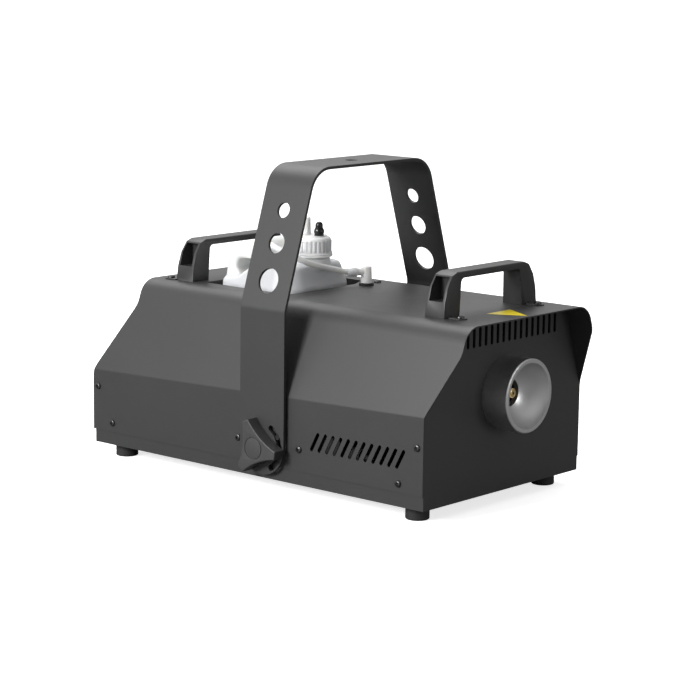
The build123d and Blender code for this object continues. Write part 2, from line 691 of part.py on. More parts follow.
def nozzle_shroud():
    """Turned aluminium shroud: straight outside, round bowl inside, throat at the bottom."""
    x0, x1 = LENGTH - SHROUD_LENGTH, LENGTH
    body = rod((x0, 0, NOZZLE_Z), (x1, 0, NOZZLE_Z), SHROUD_R)
    rim = body.edges().filter_by(GeomType.CIRCLE).sort_by(Axis.X)[-1]
    body = fillet([rim], RIM_FILLET)
    # Sphere through the mouth circle and the throat circle.
    d = BOWL_DEPTH
    centre = (BOWL_MOUTH_R ** 2 - BOWL_THROAT_R ** 2 - d ** 2) / (2 * d)
    radius = sqrt(BOWL_MOUTH_R ** 2 + centre ** 2)
    ball = Pos(at(x1 + centre), 0, NOZZLE_Z) * Sphere(radius)
    ball = ball & block(x1 - d, x1 + 2 * radius, -90, 90, 0, 250)
    return body - ball - rod((x0 - 1, 0, NOZZLE_Z), (x1, 0, NOZZLE_Z), BOWL_THROAT_R)


def shroud_plate():
    """Dark insulating disc behind the shroud, with the nozzle through it."""
    return tube((BODY_LENGTH - 7, 0, NOZZLE_Z), (BODY_LENGTH - 2.2, 0, NOZZLE_Z), 26.0, 6.0)


def brass_nozzle():
    body = rod((446, 0, NOZZLE_Z), (458, 0, NOZZLE_Z), 6.0)
    hexagon = extrude(Plane(origin=(at(458), 0, NOZZLE_Z), z_dir=(1, 0, 0)) * RegularPolygon(6.2, 6), amount=6)
    tip = rod((464, 0, NOZZLE_Z), (470, 0, NOZZLE_Z), 4.8)
    tip = fillet(tip.edges().filter_by(GeomType.CIRCLE).sort_by(Axis.X)[-1:], 1.5)
    return body + hexagon + tip - rod((445, 0, NOZZLE_Z), (471, 0, NOZZLE_Z), 1.3)


EX_X = (286.0, 430.0)
EX_HALF = 38.0
EX_SPLIT = NOZZLE_Z
EX_LOW = NOZZLE_Z - 30.0
EX_HIGH = NOZZLE_Z + 30.0
ROD_Y = (-22.0, 22.0)


def exchanger_half(z0, z1):
    """Half of the cast block, with a snaking channel in the joint face and seats for the heater rods."""
    solid = block(*EX_X, -EX_HALF, EX_HALF, z0, z1)
    cuts = []
    lanes = (-14.0, -7.0, 0.0, 7.0, 14.0)
    a, b = EX_X[0] + 14, EX_X[1] - 14
    for y in lanes:
        cuts.append(rod((a, y, EX_SPLIT), (b, y, EX_SPLIT), 2.0))
    for k, y in enumerate(lanes[:-1]):
        x = b if k % 2 == 0 else a
        cuts.append(rod((x, y, EX_SPLIT), (x, lanes[k + 1], EX_SPLIT), 2.0))
    cuts.append(rod((b, 0, EX_SPLIT), (EX_X[1] + 1, 0, EX_SPLIT), 4.05))
    for y in ROD_Y:
        cuts.append(rod((EX_X[0] - 1, y, EX_SPLIT), (EX_X[1] + 1, y, EX_SPLIT), 5.0))
    for x in (EX_X[0] + 8, EX_X[1] - 8):
        for y in (-32.0, 32.0):
            cuts.append(rod((x, y, z0 - 1), (x, y, z1 + 1), 2.6))
    return solid - cuts


def heater_rods():
    group = None
    for y in ROD_Y:
        heater = rod((EX_X[0] - 8, y, EX_SPLIT), (EX_X[1], y, EX_SPLIT), 4.95)
        group = heater if group is None else group + heater
    return group


def exchanger_bolts():
    group = None
    for x in (EX_X[0] + 8, EX_X[1] - 8):
        for y in (-32.0, 32.0):
            bolt = rod((x, y, EX_LOW - 4), (x, y, EX_HIGH), 2.5) + rod((x, y, EX_HIGH), (x, y, EX_HIGH + 4), 4.2)
            group = bolt if group is None else group + bolt
    return group


def outlet_pipe():
    return tube((EX_X[1] - 10, 0, NOZZLE_Z), (446, 0, NOZZLE_Z), 4.0, 1.5)


def insulation_jacket():
    pad = 16.0
    outer = block(EX_X[0] - 0.5, EX_X[1] + 5, -EX_HALF - pad, EX_HALF + pad, EX_LOW - 8 - 6, EX_HIGH + pad)
    outer = round_edges(outer, 10, lambda e: abs(e.length - (EX_X[1] - EX_X[0] + 5.5)) < 0.1)
    core = block(EX_X[0] - 2, EX_X[1] + 6, -EX_HALF - 0.5, EX_HALF + 0.5, EX_LOW - 8, EX_HIGH + 5)
    return outer - core


def exchanger_stand():
    """Two folded feet that hold the block clear of the floor."""
    group = None
    floor = FOOT_HEIGHT + TRAY_SHEET
    for x in (EX_X[0] - 5, EX_X[1] + 7):
        upright = block(x, x + 2, -30, 30, floor, EX_LOW - 1)
        foot = block(x - 10 if x < 300 else x, x + 2 if x < 300 else x + 12, -30, 30, floor, floor + 2)
        shelf = block(*((x, EX_X[0] + 20) if x < 300 else (EX_X[1] - 20, x + 2)), -30, 30, EX_LOW - 3, EX_LOW - 0.05)
        piece = upright + foot + shelf
        for bx in (EX_X[0] + 8, EX_X[1] - 8):
            for by in (-32.0, 32.0):
                piece -= rod((bx, by, EX_LOW - 8), (bx, by, EX_LOW + 1), 2.7)
        group = piece if group is None else group + piece
    return group


def thermal_cutout():
    disc = rod((350, 0, EX_HIGH), (350, 0, EX_HIGH + 4), 4.5) + rod((350, 0, EX_HIGH), (350, 0, EX_HIGH + 1.2), 4.9)
    return disc


# ---- Pump, lines, electronics -------------------------------------------------------------------
def pump():
    y, z = -96.0, 48.0
    coil = block(300, 340, y - 16, y + 16, z - 18, z + 18)
    tube_body = rod((286, y, z), (358, y, z), 8.0)
    ends = rod((276, y, z), (368, y, z), 3.0)
    base = block(302, 338, y - 14, y + 14, FOOT_HEIGHT + TRAY_SHEET, z - 18)
    return coil + tube_body + ends + base


def main_board():
    board = block(30, 96, -70, 70, 26, 27.6)
    return board - [rod((x, y, 24), (x, y, 30), 1.7) for x in (34, 92) for y in (-64, 64)]


def board_standoffs():
    floor = FOOT_HEIGHT + TRAY_SHEET
    group = None
    for x in (34, 92):
        for y in (-64, 64):
            post = rod((x, y, floor), (x, y, 26), 3.0) + rod((x, y, 26), (x, y, 29), 1.5)
            group = post if group is None else group + post
    return group


def board_parts():
    relay = block(44, 60, -50, -22, 27.6, 43)
    sink = block(66, 88, -56, -20, 27.6, 32)
    for k in range(5):
        sink += block(67 + k * 4.6, 69 + k * 4.6, -56, -20, 32, 46)
    caps = [rod((50, y, 27.6), (50, y, 46), 7.0) for y in (2, 20)]
    terminal = block(76, 90, 4, 50, 27.6, 40)
    return relay + sink + caps[0] + caps[1] + terminal


def power_transformer():
    core = block(40, 86, 78, 118, FOOT_HEIGHT + TRAY_SHEET, 58)
    coil = block(48, 78, 72.5, 123, 24, 50)
    return core + coil


def bottle_well():
    """Open box under the opening; a lip all round hangs below the cover."""
    t = 1.6
    x0, x1, y0, y1 = OPENING
    floor = FOOT_HEIGHT + TRAY_SHEET + 0.05
    outer = block(x0 - t, x1 + t, y0 - t, y1 + t, floor, TOP - SHEET - 0.1)
    inner = block(x0, x1, y0, y1, floor + 2.5, TOP)
    lip = block(x0 - 5, x1 + 4, y0 - 8, y1 + 8, TOP - SHEET - 2.1, TOP - SHEET - 0.1)
    lip -= block(x0 - 1, x1 + 1, y0 - 1, y1 + 1, TOP - 10, TOP)
    return outer + lip - inner


# ---- Bottle -------------------------------------------------------------------------------------
BOTTLE_X = (112.0, 222.0)
BOTTLE_Y = (-60.0, 50.0)
BOTTLE_FLOOR = 19.4
BOTTLE_SHOULDER = 219.0
BOTTLE_WALL = 1.6
BOTTLE_LEAN_Z = 196.0
BOTTLE_LEAN = 20.0        # degrees
NECK_R = 19.0
CAP_BASE = 226.0
CAP_TOP = 247.0


def bottle_blank(inset):
    """Body with upright sides, sides that lean in above the well's mouth, and a low rear shoulder."""
    x0, x1 = BOTTLE_X[0] + inset, BOTTLE_X[1] - inset
    y0, y1 = BOTTLE_Y[0] + inset, BOTTLE_Y[1] - inset
    base, shoulder = BOTTLE_FLOOR + inset, BOTTLE_SHOULDER - inset
    centre = ((at(x0) + at(x1)) / 2, (y0 + y1) / 2)
    section = RectangleRounded(x1 - x0, y1 - y0, 28 - inset)
    solid = extrude(Pos(*centre, base) * section, amount=BOTTLE_LEAN_Z - base)
    solid += extrude(Pos(*centre, BOTTLE_LEAN_Z) * section, amount=shoulder - BOTTLE_LEAN_Z, taper=BOTTLE_LEAN)
    high = side_prism([(x0 - 5, base - 1), (x1 + 5, base - 1), (x1 + 5, shoulder + 5), (174, shoulder + 5),
                       (166, shoulder), (146, 204 - inset), (x0 - 5, 198 - inset)], -100, 100)
    solid = round_edges(solid, 6 - inset, lambda e: e.center().Z > shoulder - 0.1)
    solid = solid & high
    return round_edges(solid, 5 - inset, lambda e: e.center().Z < base + 0.1)


GRIP_Y = (-46.0, 26.0)


def bottle_grip():
    """Moulded carrying grip that rises from the low rear shoulder, with a finger hole across it."""
    outline = [(113, 188), (121, 232), (168, 247), (180, 222), (180, 188)]
    y0, y1 = GRIP_Y
    solid = side_prism(outline, y0, y1)
    solid = round_edges(solid, 13, lambda e: abs(e.length - (y1 - y0)) < 0.1 and e.center().Z > 218)
    middle = (y0 + y1) / 2
    solid = round_edges(solid, 8, lambda e: abs(abs(e.center().Y - middle) - (y1 - y0) / 2) < 0.1
                        and e.center().Z > 200)
    room_for_cap = rod((CAP_X, 0, CAP_BASE - 1.5), (CAP_X, 0, 270), 25.0)
    return solid - slot_along_y((142, 213.5), (156, 213.5), 17, -50, 40) - room_for_cap


def fluid_bottle():
    solid = bottle_blank(0) + (bottle_grip() - bottle_blank(BOTTLE_WALL))
    neck_x = CAP_X
    solid += rod((neck_x, 0, BOTTLE_SHOULDER - 4), (neck_x, 0, 241.5), NECK_R)
    solid += rod((neck_x, 0, BOTTLE_SHOULDER - 4), (neck_x, 0, CAP_BASE - 1.5), NECK_R + 2.5)
    cavity = bottle_blank(BOTTLE_WALL)
    return solid - cavity - rod((neck_x, 0, BOTTLE_SHOULDER - 12), (neck_x, 0, 245), NECK_R - 2.4)


RIBS = 36


def cap_ring():
    x = CAP_X
    ring = rod((x, 0, CAP_BASE + 4), (x, 0, CAP_TOP), 22.4)
    ring = fillet(ring.edges().sort_by(Axis.Z)[-1:], 1.4)
    ring += rod((x, 0, CAP_BASE), (x, 0, CAP_BASE + 4), 24.0)
    for k in range(RIBS):
        a = 2 * pi * k / RIBS
        cx, cy = x + 22.3 * cos(a), 22.3 * sin(a)
        ring += rod((cx, cy, CAP_BASE + 3.9), (cx, cy, CAP_TOP - 2), 0.9)
    ring -= rod((x, 0, CAP_BASE - 1), (x, 0, CAP_TOP - 2.4), NECK_R + 0.5)
    return ring - rod((x, 0, CAP_BASE), (x, 0, CAP_TOP + 1), 18.2)


def cap_insert():
    """Still disc under the ring: the hose elbow, the vent and the dip tube all sit in it."""
    x = CAP_X
    disc = rod((x, 0, 241.5), (x, 0, 244.2), 19.1) + rod((x, 0, 244.2), (x, 0, CAP_TOP + 1.2), 17.8)
    disc += rod((x, 0, 236), (x, 0, 241.5), NECK_R - 2.6)
    disc -= rod((ELBOW_X, 0, 230), (ELBOW_X, 0, 260), 3.0)
    return disc - rod((VENT_X, 0, 230), (VENT_X, 0, 260), 2.0)


ELBOW_X = 191.0
ELBOW_R = 5.4
VENT_X = 210.4
ELBOW_TOP = 266.5
BARB_R = 4.0
CAP_ELBOW_BARB = (183.0, -8.0, 260.0)
PLUG_BARB = (236.2, 31.0, 209.2)


def elbow(x, y, z0, z1, stem_z, stem_r, barb_end):
    """Moulded elbow: tapered upright body, a stem below and a side barb to the hose."""
    base = Pos(at(x), y, z0) * Circle(ELBOW_R + 0.7)
    crown = Pos(at(x), y, z1) * Circle(ELBOW_R)
    body = loft([base, crown])
    body = fillet(body.edges().sort_by(Axis.Z)[-1:], 1.2)
    body += rod((x, y, stem_z), (x, y, z0), stem_r)
    return body + rod((x, y, barb_end[2]), barb_end, BARB_R)


def cap_elbow():
    return elbow(ELBOW_X, 0, CAP_TOP + 1.2, ELBOW_TOP, 238, 2.98, CAP_ELBOW_BARB)


def plug_elbow():
    return elbow(SOCKET_X, SOCKET_Y, TOP + 2.6, TOP + 20.2, TOP - 10, 3.6, PLUG_BARB)


def hose_socket():
    """Grommet in the cover that takes the hose plug."""
    collar = tube((SOCKET_X, SOCKET_Y, TOP), (SOCKET_X, SOCKET_Y, TOP + 2.2), 8.0, 3.95)
    return collar + tube((SOCKET_X, SOCKET_Y, TOP - 14), (SOCKET_X, SOCKET_Y, TOP), 6.5, 3.95)


def vent_valve():
    """Soft air valve: a wide round foot with a narrower dome on it, slit across the top."""
    x, z = VENT_X, CAP_TOP + 1.2
    foot = rod((x, 0, z - 8), (x, 0, z), 1.95) + rod((x, 0, z), (x, 0, z + 1.4), 5.0)
    bulb = Pos(at(x), 0, z + 4.6) * Sphere(5.5)
    bulb -= rod((x, 0, z - 2), (x, 0, z), 7.0)
    dome = Pos(at(x), 0, z + 11.0) * Sphere(4.0) + rod((x, 0, z + 4), (x, 0, z + 11.0), 4.0)
    slit = block(x - 5, x + 5, -0.3, 0.3, z + 10, z + 20)
    return foot + bulb + dome - slit


HOSE_ROUTE = (
    CAP_ELBOW_BARB, (172.0, -19.0, 260.0), (167.8, -33.9, 258.0), (171.0, -48.9, 254.5), (181.6, -59.5, 249.8),
    (196.0, -63.5, 244.4), (210.5, -59.9, 238.2), (221.5, -48.9, 230.8), (226.2, -34.0, 223.6), (227.2, -16.0, 218.4),
    (228.6, 4.0, 214.0), (231.7, 20.7, 209.2), PLUG_BARB)


def route_vectors(route):
    return [Vector(at(x), y, z) for x, y, z in route]


def route_radii(points):
    """Each arc is as large as its two runs allow."""
    radii = []
    for a, b, c in zip(points, points[1:], points[2:]):
        turn = radians((b - a).get_angle(c - b))
        radii.append(0.45 * min((b - a).length, (c - b).length) / tan(turn / 2))
    return radii


def fluid_hose():
    points = route_vectors(HOSE_ROUTE)
    radii = route_radii(points)
    print("hose radii", [round(r, 1) for r in radii])
    path = FilletPolyline(*points, radius=radii)
    start = Plane(origin=points[0], z_dir=points[1] - points[0])
    hose = sweep(start * Circle(HOSE_R), path=path)
    length = path.length
    print("hose length", round(length, 1), "volume", round(hose.volume, 1),
          "section x length", round(pi * HOSE_R ** 2 * length, 1))
    return hose


def dip_tube():
    """Tube from the insert to a round strainer near the bottle's floor."""
    return tube((ELBOW_X, 0, 30), (ELBOW_X, 0, 236), 2.9, 2.0) + rod((ELBOW_X, 0, 23), (ELBOW_X, 0, 31), 7.0)


def suction_line():
    """Line from the socket down to the pump, below the cover."""
    points = [Vector(at(x), y, z) for x, y, z in (
        (SOCKET_X, SOCKET_Y, TOP - 14), (SOCKET_X, SOCKET_Y, 48.0), (SOCKET_X, -96.0, 48.0),
        (276.0, -96.0, 48.0))]
    path = FilletPolyline(*points, radius=[14.0, 14.0])
    start = Plane(origin=points[0], z_dir=points[1] - points[0])
    return sweep(start * Circle(3.0), path=path)


# ---- Write every node ---------------------------------------------------------------------------
def build():
    PARTS["top_cover"] = top_cover()
    PARTS["chassis_tray"] = chassis_tray()
    PARTS["rear_panel"] = rear_panel()
    PARTS["front_handle"] = handle(*HANDLE_FRONT, 1)
    PARTS["rear_handle"] = handle(*HANDLE_REAR, -1)
    PARTS["top_screws"] = top_screws()
    PARTS["cover_screws"] = cover_screws()
    PARTS["rubber_feet"] = rubber_feet()
    PARTS["foot_screws"] = foot_screws()
    PARTS["warning_triangle"] = warning_triangle()
    PARTS["bracket"] = bracket()
    PARTS["spacer_washers"] = spacer_washers()
    PARTS["stop_pins"] = stop_pins()
    PARTS["pivot_nuts"] = pivot_nuts()
    PARTS["right_knob"] = knob(-1, KNOB_TURN)
    PARTS["left_knob"] = knob(1, KNOB_TURN)
    PARTS["right_stud"] = knob_stud(-1)
    PARTS["left_stud"] = knob_stud(1)
    PARTS["nozzle_shroud"] = nozzle_shroud()
    PARTS["shroud_plate"] = shroud_plate()
    PARTS["brass_nozzle"] = brass_nozzle()
    PARTS["outlet_pipe"] = outlet_pipe()
    PARTS["exchanger_lower"] = exchanger_half(EX_LOW, EX_SPLIT)
    PARTS["exchanger_upper"] = exchanger_half(EX_SPLIT, EX_HIGH)
    PARTS["heater_rods"] = heater_rods()
    PARTS["exchanger_bolts"] = exchanger_bolts()
    PARTS["insulation_jacket"] = insulation_jacket()
    PARTS["exchanger_stand"] = exchanger_stand()
    PARTS["thermal_cutout"] = thermal_cutout()
    PARTS["pump"] = pump()
    PARTS["suction_line"] = suction_line()
    PARTS["main_board"] = main_board()
    PARTS["board_parts"] = board_parts()
    PARTS["board_standoffs"] = board_standoffs()
    PARTS["power_transformer"] = power_transformer()
    PARTS["bottle_well"] = bottle_well()
    PARTS["fluid_bottle"] = fluid_bottle()
    PARTS["cap_ring"] = cap_ring()
    PARTS["cap_insert"] = cap_insert()
    PARTS["cap_elbow"] = cap_elbow()
    PARTS["plug_elbow"] = plug_elbow()
    PARTS["vent_valve"] = vent_valve()
    PARTS["hose_socket"] = hose_socket()
    PARTS["fluid_hose"] = fluid_hose()
    PARTS["dip_tube"] = dip_tube()
    PARTS["mains_inlet"] = mains_inlet()
    PARTS["inlet_pins"] = inlet_pins()
    PARTS["panel_screws"] = panel_screws()
    PARTS["data_sockets"] = data_sockets()
    PARTS["fuse_cap"] = fuse_cap()
    PARTS["switch_frame"] = switch_frame()
    PARTS["power_rocker"] = power_rocker()
    PARTS["display_frame"] = display_frame()
    PARTS["display_window"] = display_window()
    PARTS["fuse_holder"] = fuse_holder()
    for index, y in enumerate(BUTTON_Y):
        PARTS[f"menu_button_{index + 1}"] = menu_button(y)


build()
os.makedirs("parts", exist_ok=True)
for name, shape in PARTS.items():
    export_step(shape, f"parts/{name}.step")
print(len(PARTS), "nodes")
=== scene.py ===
# %% [markdown]
# # A stage fog machine
# The machine is a folded steel case with a nozzle in front, a bottle of fluid in a well on top,
# two carrying handles and a hanging bracket. The shapes with a real size come from a finished
# engineering model. This lesson gives them their surfaces, adds the pieces that look better when
# they are made here, and sets the camera and the light.

# %% Load the engineering model
import json
import math

import bmesh
import bpy
from mathutils import Matrix, Vector


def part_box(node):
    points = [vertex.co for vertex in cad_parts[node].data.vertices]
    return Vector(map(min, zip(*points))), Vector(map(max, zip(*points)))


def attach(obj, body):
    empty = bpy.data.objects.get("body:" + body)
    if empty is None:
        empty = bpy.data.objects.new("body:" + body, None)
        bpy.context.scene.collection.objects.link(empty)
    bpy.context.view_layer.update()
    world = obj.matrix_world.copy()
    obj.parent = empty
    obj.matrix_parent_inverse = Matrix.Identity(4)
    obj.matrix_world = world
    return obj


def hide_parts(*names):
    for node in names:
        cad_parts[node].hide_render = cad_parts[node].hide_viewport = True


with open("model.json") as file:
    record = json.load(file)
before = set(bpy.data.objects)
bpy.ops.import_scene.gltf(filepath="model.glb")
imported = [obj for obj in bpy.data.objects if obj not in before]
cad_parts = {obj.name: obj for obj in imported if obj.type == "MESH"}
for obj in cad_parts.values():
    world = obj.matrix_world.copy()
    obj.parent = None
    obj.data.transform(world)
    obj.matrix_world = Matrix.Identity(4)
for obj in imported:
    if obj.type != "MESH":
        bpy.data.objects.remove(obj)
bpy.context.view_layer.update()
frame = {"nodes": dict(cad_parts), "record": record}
nodes = frame["nodes"]


# %% [markdown]
# ## Camera
# A long lens from the front right, a little above the machine, keeps its upright edges nearly
# parallel. It could be placed by hand, but a direction, a tilt and a roll, with the camera's
# position, say the same thing in a few numbers and are easy to change.

# %% Place the camera
AZIMUTH, ELEVATION, ROLL = math.radians(40.774), math.radians(10.102), math.radians(0.743)
LENS = 120.22
CAMERA_AT = Vector((1.5873, -1.8284, 0.5617))


def place_camera():
    ahead = Vector((-math.sin(AZIMUTH) * math.cos(ELEVATION), math.cos(AZIMUTH) * math.cos(ELEVATION),
                    -math.sin(ELEVATION)))
    level = Vector((math.cos(AZIMUTH), math.sin(AZIMUTH), 0))
    upright = level.cross(ahead)
    right = level * math.cos(ROLL) + upright * math.sin(ROLL)
    up = upright * math.cos(ROLL) - level * math.sin(ROLL)
    data = bpy.data.cameras.new("camera")
    data.lens = LENS
    data.sensor_width = 36
    data.clip_start, data.clip_end = 0.05, 50
    camera = bpy.data.objects.new("camera", data)
    camera.matrix_world = Matrix.Translation(CAMERA_AT) @ Matrix((right, up, -ahead)).transposed().to_4x4()
    bpy.context.scene.collection.objects.link(camera)
    bpy.context.scene.camera = camera
    return camera


print("camera at", place_camera().matrix_world.translation)

# %% [markdown]
# ## Fluid hose
# The hose is a short soft tube that leaves the bottle's cap, loops towards the near side and
# comes down to a plug on the case. Its line is a NURBS curve through the air between its two
# ends, because a bent tube of that length has one smooth curve and no corners.

# %% Hose
HOSE_DIAMETER = 0.0064
HOSE_ROUTE = (
    (183.0, -8.0, 260.0), (172.0, -19.0, 260.0), (167.8, -33.9, 258.0), (171.0, -48.9, 254.5),
    (181.6, -59.5, 249.8), (196.0, -63.5, 244.4), (210.5, -59.9, 238.2), (221.5, -48.9, 230.8),
    (226.2, -34.0, 223.6), (227.2, -16.0, 218.4), (228.6, 4.0, 214.0), (231.7, 20.7, 209.2),
    (236.2, 31.0, 209.2))
REAR_EDGE = -0.245


def machine_point(station, side, height):
    """A point given in millimetres from the case's rear edge, its middle line and the floor."""
    return Vector((REAR_EDGE + station / 1000, side / 1000, height / 1000))


def make_hose():
    data = bpy.data.curves.new("fluid_tube", "CURVE")
    data.dimensions = "3D"
    data.resolution_u = 12
    data.bevel_depth = 1.0      # each point's own radius then gives the tube's real radius
    data.bevel_resolution = 6
    spline = data.splines.new("NURBS")
    spline.points.add(len(HOSE_ROUTE) - 1)
    for point, place in zip(spline.points, HOSE_ROUTE):
        point.co = (*machine_point(*place), 1)
        point.radius = HOSE_DIAMETER / 2
    spline.order_u = 3
    spline.use_endpoint_u = True
    tube = bpy.data.objects.new("fluid_tube", data)
    bpy.context.scene.collection.objects.link(tube)
    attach(tube, "bottle")
    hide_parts("fluid_hose")
    return tube


hose = make_hose()

# %% [markdown]
# ## Shader expressions
# A material is easier to read as a line of arithmetic than as a wall of boxes. The small class
# below wraps one socket of a node tree, and each operator adds the Math node that it stands for.
# `Shade` makes every other kind of node, so that a material is a few lines long.

# %% A socket that does arithmetic
class Value:
    def __init__(self, shade, socket):
        self.shade = shade
        self.socket = socket

    def math(self, operation, first, second=None):
        inputs = {0: first} if second is None else {0: first, 1: second}
        return self.shade.node("ShaderNodeMath", {"operation": operation}, inputs)

    def __add__(self, other):
        return self.math("ADD", self, other)

    __radd__ = __add__

    def __sub__(self, other):
        return self.math("SUBTRACT", self, other)

    def __rsub__(self, other):
        return self.math("SUBTRACT", other, self)

    def __mul__(self, other):
        return self.math("MULTIPLY", self, other)

    __rmul__ = __mul__

    def __pow__(self, other):
        return self.math("POWER", self, other)


# %% A builder for one material
class Shade:
    def __init__(self, name):
        self.material = bpy.data.materials.new(name)
        self.material.use_nodes = True
        self.tree = self.material.node_tree
        self.tree.nodes.clear()
        self.out = self.tree.nodes.new("ShaderNodeOutputMaterial")
        self.place = self.node("ShaderNodeTexCoord", {}, {}, "Object")

    def node(self, kind, settings, inputs, output=0):
        made = self.tree.nodes.new(kind)
        for key, value in settings.items():
            if key == "stops":
                self.set_stops(made.color_ramp, value)
            else:
                setattr(made, key, value)
        for key, value in inputs.items():
            if isinstance(value, Value):
                self.tree.links.new(value.socket, made.inputs[key])
            else:
                made.inputs[key].default_value = value
        return Value(self, made.outputs[output])

    def set_stops(self, ramp, stops):
        while len(ramp.elements) < len(stops):
            ramp.elements.new(1.0)
        for element, (position, grey) in zip(ramp.elements, stops):
            element.position = position
            element.color = grey if isinstance(grey, tuple) else (grey, grey, grey, 1)

    def noise(self, scale, detail=3.0, stretch=(1, 1, 1), roughness=0.55):
        moved = self.node("ShaderNodeMapping", {}, {"Vector": self.place, "Scale": stretch})
        return self.node("ShaderNodeTexNoise", {"noise_dimensions": "3D"},
                         {"Vector": moved, "Scale": scale, "Detail": detail, "Roughness": roughness}, "Fac")

    def ramp(self, value, *stops):
        return self.node("ShaderNodeValToRGB", {"stops": stops}, {"Fac": value})

    def mix(self, factor, first, second):
        return self.node("ShaderNodeMix", {"data_type": "RGBA"}, {0: factor, 6: first, 7: second}, 2)

    def bump(self, height, strength, distance):
        return self.node("ShaderNodeBump", {},
                         {"Height": height, "Strength": strength, "Distance": distance})

    def surface(self, **inputs):
        named = {key.replace("_", " "): value for key, value in inputs.items()}
        shader = self.node("ShaderNodeBsdfPrincipled", {}, named)
        self.tree.links.new(shader.socket, self.out.inputs["Surface"])
        return self.material


def grey(value, warm=0.0):
    return (value * (1 + warm), value, value * (1 - warm), 1)


print("shader helpers ready")

# %% [markdown]
# ## Powder coat
# The case and the bracket are steel with a baked powder finish: nearly black, matt, with a very
# fine orange-peel texture and faint cloudy differences in gloss from handling. One noise for the
# peel and one for the clouds give this without any picture.

# %% Case and bracket finishes
FINISH = {}


def powder_coat(name, base, rough, peel):
    shade = Shade(name)
    clouds = shade.noise(9.0, 4.0)
    fine = shade.noise(1400.0, 2.0)
    dust = shade.ramp(shade.noise(60.0, 5.0), (0.45, 0.0), (0.85, 1.0))
    colour = shade.mix(clouds * 0.5 + dust * 0.1, grey(base), grey(base * 1.25))
    return shade.surface(Base_Color=colour, Roughness=rough - 0.04 + clouds * 0.08 + dust * 0.03,
                         Specular_IOR_Level=0.5, Normal=shade.bump(fine, peel, 0.00012))


FINISH["black_powder_coat"] = powder_coat("black powder coat", 0.028, 0.46, 0.35)
print("powder coat:", FINISH["black_powder_coat"].name)

# %% [markdown]
# ## Plastics and rubber
# Handles and knobs are moulded with a slightly rougher grain than the powder coat. Feet and the
# vent are rubber, which hardly shines at all. All share one recipe with different numbers.

# %% Moulded and rubber finishes
def moulded(name, colour, rough, grain, scale=900.0, **extra):
    shade = Shade(name)
    fine = shade.noise(scale, 2.0)
    clouds = shade.noise(25.0, 3.0)
    light = tuple(min(1.0, c * 1.18) for c in colour[:3]) + (1,)
    return shade.surface(Base_Color=shade.mix(clouds, colour, light), Roughness=rough - 0.05 + clouds * 0.1,
                         Normal=shade.bump(fine, grain, 0.00015), **extra)


FINISH["handle_plastic"] = moulded("handle plastic", grey(0.022), 0.42, 0.3)
FINISH["knob_plastic"] = moulded("knob plastic", grey(0.035), 0.5, 0.35)
FINISH["foot_rubber"] = moulded("foot rubber", grey(0.018), 0.75, 0.4, 500.0)
FINISH["valve_rubber"] = moulded("valve rubber", grey(0.008), 0.28, 0.1)
FINISH["washer_plastic"] = moulded("washer nylon", grey(0.02), 0.5, 0.1)
FINISH["dark_insulator"] = moulded("insulating board", grey(0.02, 0.05), 0.8, 0.6, 300.0)
FINISH["component_black"] = moulded("component black", grey(0.018), 0.35, 0.1)
FINISH["button_plastic"] = moulded("button plastic", grey(0.1), 0.4, 0.15)
FINISH["circuit_board"] = moulded("circuit board", (0.015, 0.13, 0.045, 1), 0.35, 0.1)
FINISH["yellow_label"] = moulded("yellow label", (0.66, 0.52, 0.005, 1), 0.34, 0.05)
print("moulded finishes:", len(FINISH))

# %% [markdown]
# ## Clear and milky plastic
# The bottle is natural polyethylene, milky and soft, so light goes in and comes out a little way
# off. Subsurface scattering does that more cheaply than real transparency. The cap is whiter and
# denser, and the hose is the clearest of the three.

# %% Bottle, cap and hose finishes
def milky(name, colour, rough, scatter, reach, through=0.0):
    shade = Shade(name)
    clouds = shade.noise(18.0, 3.0)
    ripple = shade.noise(140.0, 2.0)
    deep = tuple(c * 0.93 for c in colour[:3]) + (1,)
    return shade.surface(Base_Color=shade.mix(clouds, deep, colour), Roughness=rough + clouds * 0.08,
                         Subsurface_Weight=scatter, Subsurface_Radius=(1.0, 0.95, 0.85),
                         Subsurface_Scale=reach,
                         Transmission_Weight=through, IOR=1.5, Normal=shade.bump(ripple, 0.12, 0.0003))


FINISH["bottle_plastic"] = milky("bottle plastic", (0.76, 0.765, 0.76, 1), 0.36, 0.7, 0.014)
FINISH["cap_plastic"] = milky("cap plastic", (0.92, 0.92, 0.915, 1), 0.3, 0.5, 0.006)
FINISH["hose_plastic"] = milky("hose plastic", (0.86, 0.865, 0.86, 1), 0.24, 0.6, 0.006)
print("milky finishes:", FINISH["bottle_plastic"].name)

# %% [markdown]
# ## Metals
# Turned aluminium carries fine rings round its axis, so its streaks are noise stretched along
# the circles. Screws are blackened, brackets inside are zinc plated, and the nozzle is brass.

# %% Metal finishes
def metal(name, colour, rough, scale=220.0, stretch=(1, 1, 1), strength=0.12):
    shade = Shade(name)
    fine = shade.noise(scale, 4.0, stretch)
    tone = shade.mix(fine, tuple(c * 0.88 for c in colour[:3]) + (1,), colour)
    return shade.surface(Base_Color=tone, Metallic=1.0, Roughness=rough - 0.06 + fine * 0.12,
                         Normal=shade.bump(fine, strength, 0.0001))


